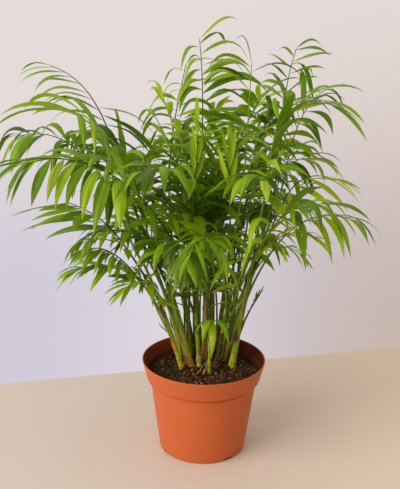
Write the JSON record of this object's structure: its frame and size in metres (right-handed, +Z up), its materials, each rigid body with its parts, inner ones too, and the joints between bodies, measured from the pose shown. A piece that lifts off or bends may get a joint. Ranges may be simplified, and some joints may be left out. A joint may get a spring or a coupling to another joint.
{
  "type": "potted palm",
  "caption": "Clump of slender green canes with arching feather-shaped fronds, growing in soil in a plain round plastic plant pot.",
  "frame": {"origin": "centre of the pot's flat underside", "axes": "+Z up, +X to the viewer's right and -Y towards the viewer of the plant's fuller side"},
  "size_m": [0.5228, 0.4159, 0.5862],
  "materials": {
    "pot": "satin",
    "soil": "matte",
    "cane": "satin",
    "frond": "satin"
  },
  "bodies": {
    "root": {"frond_arching_1": "frond", "frond_arching_2": "frond", "frond_arching_3": "frond", "frond_arching_4": "frond", "frond_arching_5": "frond", "frond_arching_6": "frond", "frond_arching_7": "frond", "frond_arching_8": "frond", "frond_front": "frond", "frond_front_right": "frond", "frond_left_dark": "frond", "frond_left_high": "frond", "frond_left_low": "frond", "frond_left_lowest": "frond", "frond_left_near": "frond", "frond_left_small": "frond", "frond_left_under": "frond", "frond_low_tuft": "frond", "frond_right_broad": "frond", "frond_right_dark": "frond", "frond_right_high": "frond", "frond_right_low": "frond", "frond_right_mid": "frond", "frond_right_tiny": "frond", "frond_spear_left": "frond", "frond_spear_right": "frond", "frond_spreading_1": "frond", "frond_spreading_2": "frond", "frond_spreading_3": "frond", "frond_spreading_4": "frond", "frond_spreading_5": "frond", "frond_spreading_6": "frond", "frond_spreading_7": "frond", "frond_spreading_8": "frond", "frond_top": "frond", "frond_top_left": "frond", "frond_top_right": "frond", "frond_top_thin": "frond", "frond_upright_1": "frond", "frond_upright_2": "frond", "frond_upright_3": "frond", "frond_upright_4": "frond", "frond_upright_5": "frond", "frond_upright_6": "frond", "pot": "pot", "soil": "soil", "stem_back": "cane", "stem_back_left": "cane", "stem_back_right": "cane", "stem_far_left": "cane", "stem_front_low": "cane", "stem_front_right": "cane", "stem_left_back": "cane", "stem_left_thick": "cane", "stem_mid": "cane", "stem_mid_back": "cane", "stem_mid_left": "cane", "stem_mid_right": "cane", "stem_right_thick": "cane", "stem_right_thin": "cane"}
  },
  "joints": []
}
